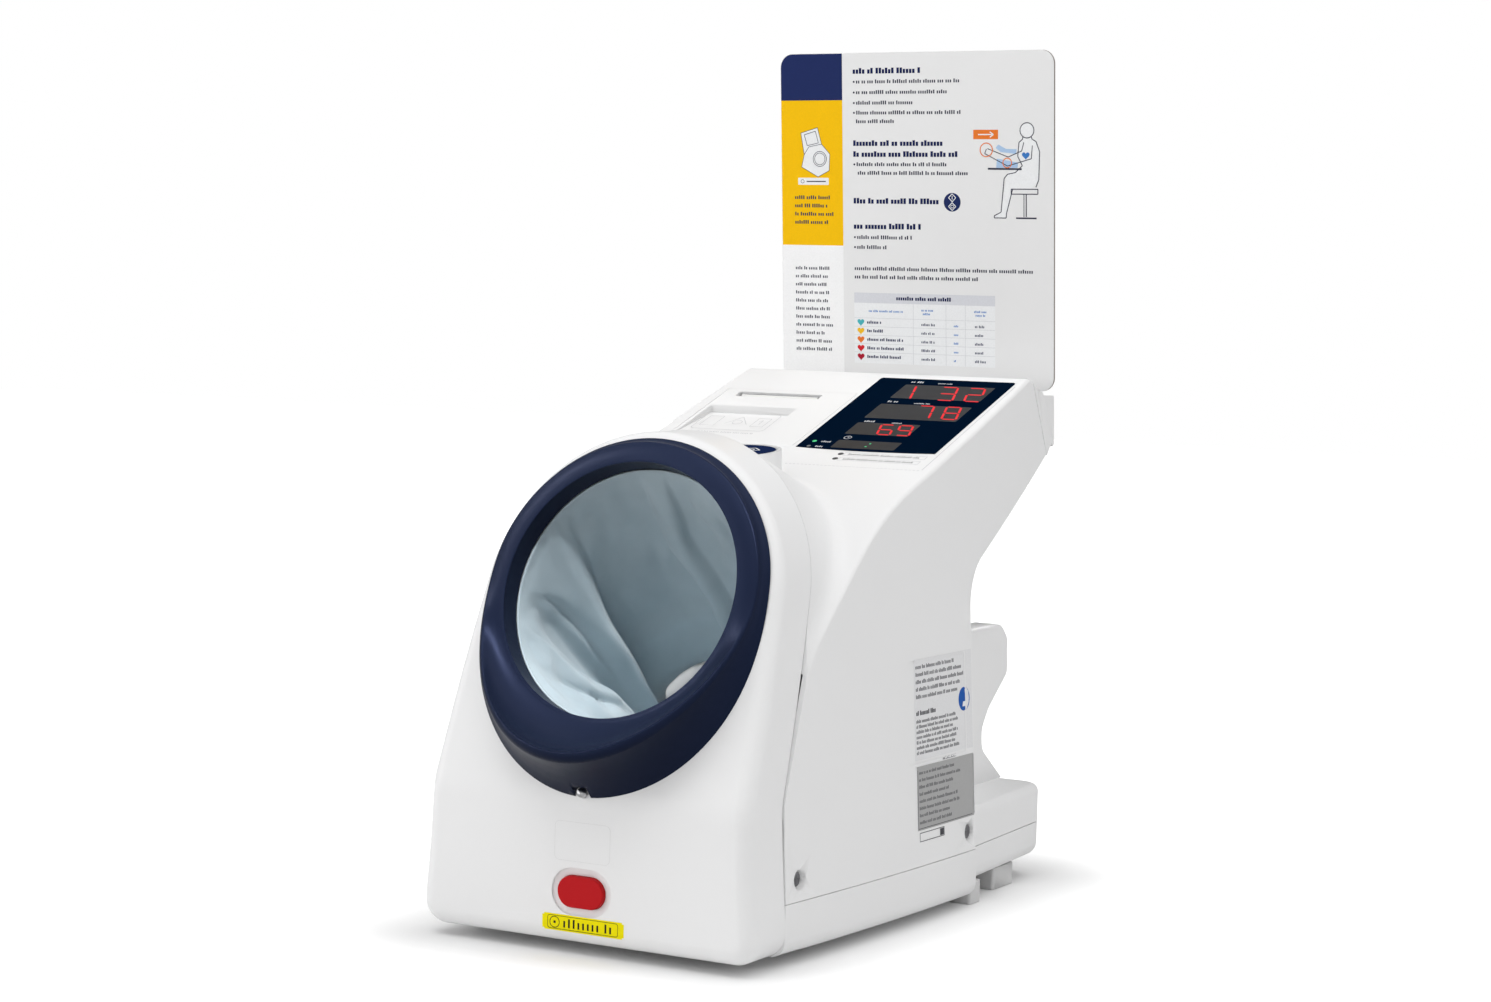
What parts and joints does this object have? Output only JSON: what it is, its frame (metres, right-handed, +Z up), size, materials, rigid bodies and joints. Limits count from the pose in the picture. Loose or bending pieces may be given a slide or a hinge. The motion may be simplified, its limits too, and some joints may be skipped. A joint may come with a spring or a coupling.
{
  "type": "arm-in blood pressure monitor",
  "caption": "Desktop arm-in automatic blood pressure monitor with a collared cuff tunnel, sloping display panel, printer lid, stop keys and an upright information board.",
  "frame": {"origin": "centre of the footprint on the table, under the feet", "axes": "+X to the user's right when facing the display, -Y towards the user, +Z up"},
  "size_m": [0.2408, 0.4455, 0.5314],
  "materials": {
    "white_shell": "fine satin moulding",
    "white_front": "fine satin moulding",
    "white_lid": "fine satin moulding",
    "navy_collar": "satin navy moulding",
    "drum_grey": "plain moulding",
    "cuff_fabric": "fine coated cloth",
    "bladder": "thin sheet",
    "board_white": "printed sheet",
    "pad_white": "soft satin",
    "window_navy": "glossy printed window",
    "digit_block": "dark module",
    "lamp": "lens",
    "circuit_board": "solder mask",
    "blue_key": "glossy key",
    "red_key": "glossy key",
    "black_plastic": "plain moulding",
    "grey_plastic": "plain moulding",
    "foot_rubber": "soft pads",
    "steel": "plated",
    "brass_pins": "plated",
    "platen_rubber": "ground",
    "paper": "paper",
    "pump_metal": "plain"
  },
  "bodies": {
    "root": {"front_cover": "white_front", "cuff_collar": "navy_collar", "collar_pin": "steel", "housing": "white_shell", "head_rear_cover": "white_shell", "instruction_board": "board_white", "board_holder": "white_shell", "board_screws": "steel", "cuff_drum": "drum_grey", "drum_screws": "steel", "exit_trim": "white_shell", "cuff_cloth": "cuff_fabric", "cloth_clamp_front": "drum_grey", "cloth_clamp_rear": "drum_grey", "air_bladder": "bladder", "base_tray": "white_shell", "rear_deck": "white_shell", "arm_rest": "white_shell", "elbow_pad": "pad_white", "rubber_feet": "foot_rubber", "rear_panel": "grey_plastic", "ac_inlet": "black_plastic", "inlet_pins": "brass_pins", "power_switch": "black_plastic", "start_stop_switch": "circuit_board", "fast_stop_switch": "circuit_board", "display_window": "window_navy", "display_board": "circuit_board", "display_digits": "digit_block", "status_lights": "lamp", "hinge_pin": "steel", "roll_spindle": "grey_plastic", "paper_bucket": "grey_plastic", "print_mechanism": "black_plastic", "air_pump": "pump_metal", "air_tube": "foot_rubber", "exhaust_valve": "pump_metal", "bleed_valve": "pump_metal", "main_board": "circuit_board", "power_supply": "pump_metal", "side_screws": "steel"},
    "start_stop_key": {"start_stop_button": "blue_key"},
    "fast_stop_key": {"fast_stop_button": "red_key"},
    "printer_lid": {"printer_cover": "white_lid", "tear_bar": "steel"},
    "platen": {"platen_roller": "platen_rubber", "platen_gear": "grey_plastic"},
    "paper": {"paper_roll": "paper"},
    "power_key": {"power_rocker": "black_plastic"}
  },
  "joints": [
    {"name": "start_stop_press", "type": "slide", "parent": "root", "child": "start_stop_key", "axis": [0, 0.1045, -0.9945], "range_m": [0, 0.0015], "stiffness_N_per_m": 1200, "springref_m": -0.001},
    {"name": "fast_stop_press", "type": "slide", "parent": "root", "child": "fast_stop_key", "axis": [0, 1, 0], "range_m": [0, 0.002], "stiffness_N_per_m": 1200, "springref_m": -0.001},
    {"name": "printer_cover_hinge", "type": "hinge", "parent": "root", "child": "printer_lid", "pos_m": [0, 0.04851, 0.27343], "axis": [1, 0, 0], "range_deg": [0, 85]},
    {"name": "platen_spin", "type": "hinge", "parent": "printer_lid", "child": "platen", "pos_m": [-0.0545, 0.11949, 0.29499], "axis": [1, 0, 0], "continuous": true},
    {"name": "paper_spin", "type": "hinge", "parent": "root", "child": "paper", "pos_m": [-0.055, 0.08727, 0.26176], "axis": [1, 0, 0], "continuous": true},
    {"name": "power_rock", "type": "hinge", "parent": "root", "child": "power_key", "pos_m": [0.068, 0.1931, 0.0365], "axis": [0, 0, 1], "range_deg": [-14, 0]}
  ]
}
